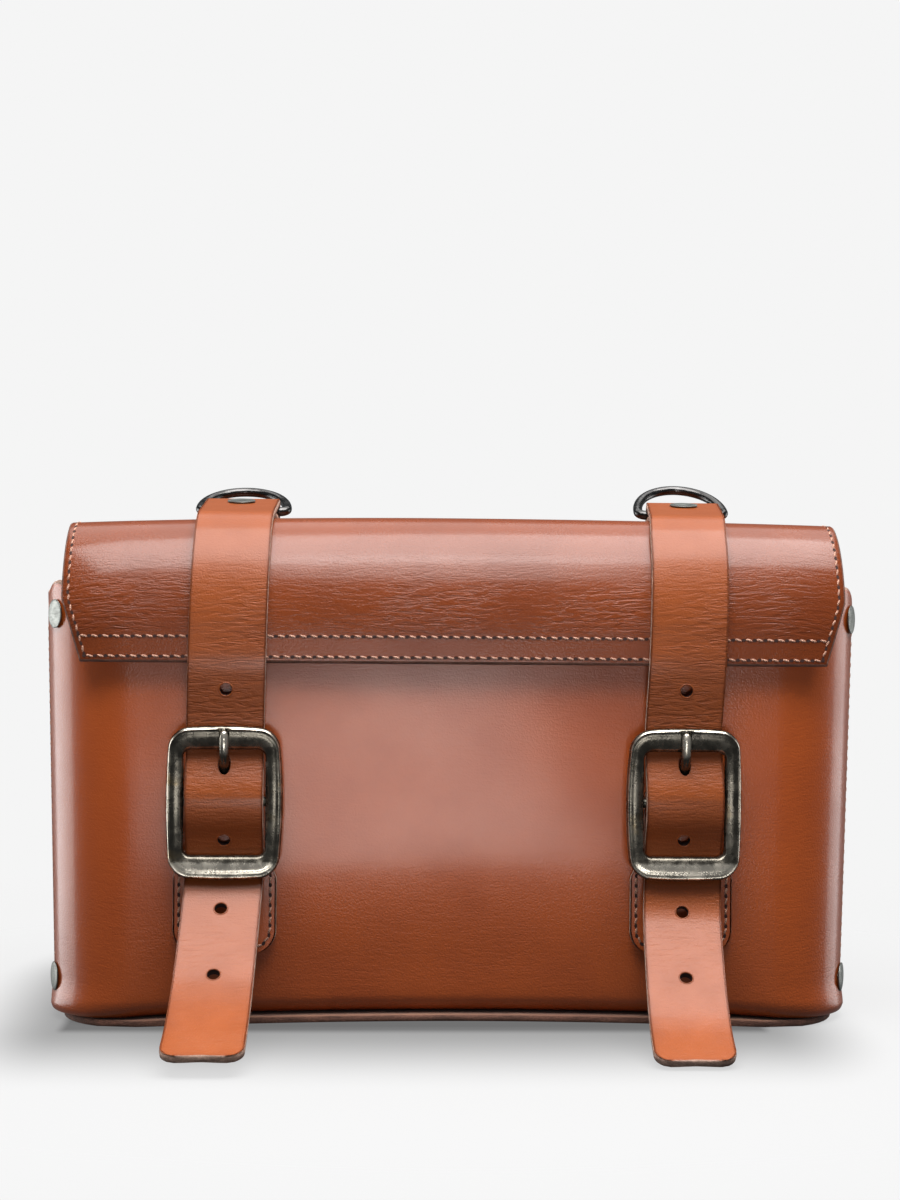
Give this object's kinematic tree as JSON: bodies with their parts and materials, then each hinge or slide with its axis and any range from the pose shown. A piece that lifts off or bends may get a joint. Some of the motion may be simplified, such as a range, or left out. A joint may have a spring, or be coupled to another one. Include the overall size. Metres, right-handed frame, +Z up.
{
  "type": "saddle bag",
  "caption": "Tan leather saddle bag with a fold-over flap, two buckled front straps, riveted side wings and D-rings on top.",
  "frame": {"origin": "centre of the base's underside", "axes": "+X to the right seen from the front, the front faces -Y, +Z up"},
  "size_m": [0.2708, 0.1463, 0.1794],
  "materials": {
    "body_leather": "smooth waxed leather, soft sheen",
    "strap_leather": "smooth leather with fine cross wrinkles",
    "lining": "raw suede side, matt",
    "antique_brass": "dark antique brass, worn on the high spots",
    "nickel_rivet": "brushed nickel",
    "dark_nickel": "dark nickel wire"
  },
  "bodies": {
    "bag_body": {"front_panel": "body_leather", "gusset_left": "body_leather", "gusset_right": "body_leather", "back_panel": "body_leather", "bottom_panel": "body_leather", "chape_left": "body_leather", "chape_right": "body_leather", "upper_rivet_left_cap": "nickel_rivet", "upper_rivet_left_post": "nickel_rivet", "upper_rivet_right_cap": "nickel_rivet", "upper_rivet_right_post": "nickel_rivet", "lower_rivet_left_cap": "nickel_rivet", "lower_rivet_left_post": "nickel_rivet", "lower_rivet_right_cap": "nickel_rivet", "lower_rivet_right_post": "nickel_rivet"},
    "flap": {"flap_outer": "body_leather", "flap_lining": "lining", "flap_band": "body_leather", "strap_loop_left": "strap_leather", "strap_loop_right": "strap_leather", "loop_rivet_left_cap": "nickel_rivet", "loop_rivet_left_post": "nickel_rivet", "loop_rivet_right_cap": "nickel_rivet", "loop_rivet_right_post": "nickel_rivet"},
    "strap_left": {"strap_left": "strap_leather"},
    "strap_right": {"strap_right": "strap_leather"},
    "buckle_left": {"buckle_left": "antique_brass"},
    "buckle_right": {"buckle_right": "antique_brass"},
    "prong_left": {"prong_left": "antique_brass"},
    "prong_right": {"prong_right": "antique_brass"},
    "d_ring_left": {"d_ring_left": "dark_nickel"},
    "d_ring_right": {"d_ring_right": "dark_nickel"}
  },
  "joints": [
    {"name": "flap_hinge", "type": "hinge", "parent": "bag_body", "child": "flap", "pos_m": [0, 0.04, 0.1525], "axis": [-1, 0, 0], "range_deg": [0, 135]},
    {"name": "strap_left_lift", "type": "hinge", "parent": "flap", "child": "strap_left", "pos_m": [-0.07225, -0.03924, 0.15493], "axis": [-1, 0, 0], "range_deg": [0, 80], "deforming": ["strap_left"]},
    {"name": "buckle_left_tilt", "type": "hinge", "parent": "bag_body", "child": "buckle_left", "pos_m": [-0.0735, -0.0445, 0.0738], "axis": [1, 0, 0], "range_deg": [-8, 8]},
    {"name": "prong_left_swing", "type": "hinge", "parent": "buckle_left", "child": "prong_left", "pos_m": [-0.0735, -0.0445, 0.0738], "axis": [1, 0, 0], "range_deg": [0, 95]},
    {"name": "d_ring_left_swing", "type": "hinge", "parent": "flap", "child": "d_ring_left", "pos_m": [-0.07196, 0.006, 0.16818], "axis": [1, 0, 0], "range_deg": [-25, 125]},
    {"name": "strap_right_lift", "type": "hinge", "parent": "flap", "child": "strap_right", "pos_m": [0.0756, -0.03924, 0.15493], "axis": [-1, 0, 0], "range_deg": [0, 80], "deforming": ["strap_right"]},
    {"name": "buckle_right_tilt", "type": "hinge", "parent": "bag_body", "child": "buckle_right", "pos_m": [0.0735, -0.0445, 0.0738], "axis": [1, 0, 0], "range_deg": [-8, 8]},
    {"name": "prong_right_swing", "type": "hinge", "parent": "buckle_right", "child": "prong_right", "pos_m": [0.0735, -0.0445, 0.0738], "axis": [1, 0, 0], "range_deg": [0, 95]},
    {"name": "d_ring_right_swing", "type": "hinge", "parent": "flap", "child": "d_ring_right", "pos_m": [0.07609, 0.006, 0.16818], "axis": [1, 0, 0], "range_deg": [-31, 119]}
  ]
}
